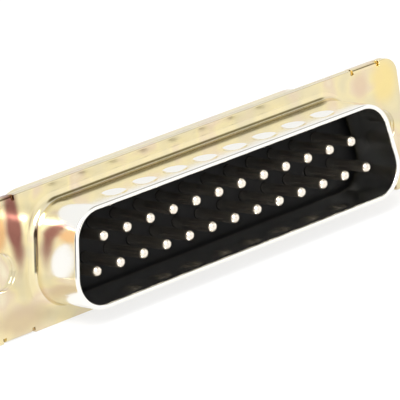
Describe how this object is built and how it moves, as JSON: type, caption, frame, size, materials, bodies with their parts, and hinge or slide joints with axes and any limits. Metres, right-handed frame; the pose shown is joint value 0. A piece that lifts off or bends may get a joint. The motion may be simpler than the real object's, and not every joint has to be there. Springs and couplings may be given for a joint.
{
  "type": "d-sub connector",
  "caption": "Drawn-shell plug connector: D-shaped nose round two rows of pins, flat flange with a mounting hole at each end, solder cups at the back.",
  "frame": {"origin": "centre of the flange's front face, midway between the two mounting holes", "axes": "X along the connector, -Y out of the mating face, +Z towards the shorter row of contacts"},
  "size_m": [0.053, 0.0166, 0.0126],
  "materials": {
    "plated_steel": "bright zinc with a thin yellow passivate",
    "black_plastic": "moulded, slightly glossy",
    "contact_metal": "turned and tinned, polished"
  },
  "bodies": {
    "root": {"front_shell": "plated_steel", "rear_shell": "plated_steel", "front_insulator": "black_plastic", "rear_insulator": "black_plastic", "contact_01": "contact_metal", "contact_02": "contact_metal", "contact_03": "contact_metal", "contact_04": "contact_metal", "contact_05": "contact_metal", "contact_06": "contact_metal", "contact_07": "contact_metal", "contact_08": "contact_metal", "contact_09": "contact_metal", "contact_10": "contact_metal", "contact_11": "contact_metal", "contact_12": "contact_metal", "contact_13": "contact_metal", "contact_14": "contact_metal", "contact_15": "contact_metal", "contact_16": "contact_metal", "contact_17": "contact_metal", "contact_18": "contact_metal", "contact_19": "contact_metal", "contact_20": "contact_metal", "contact_21": "contact_metal", "contact_22": "contact_metal", "contact_23": "contact_metal", "contact_24": "contact_metal", "contact_25": "contact_metal"}
  },
  "joints": []
}
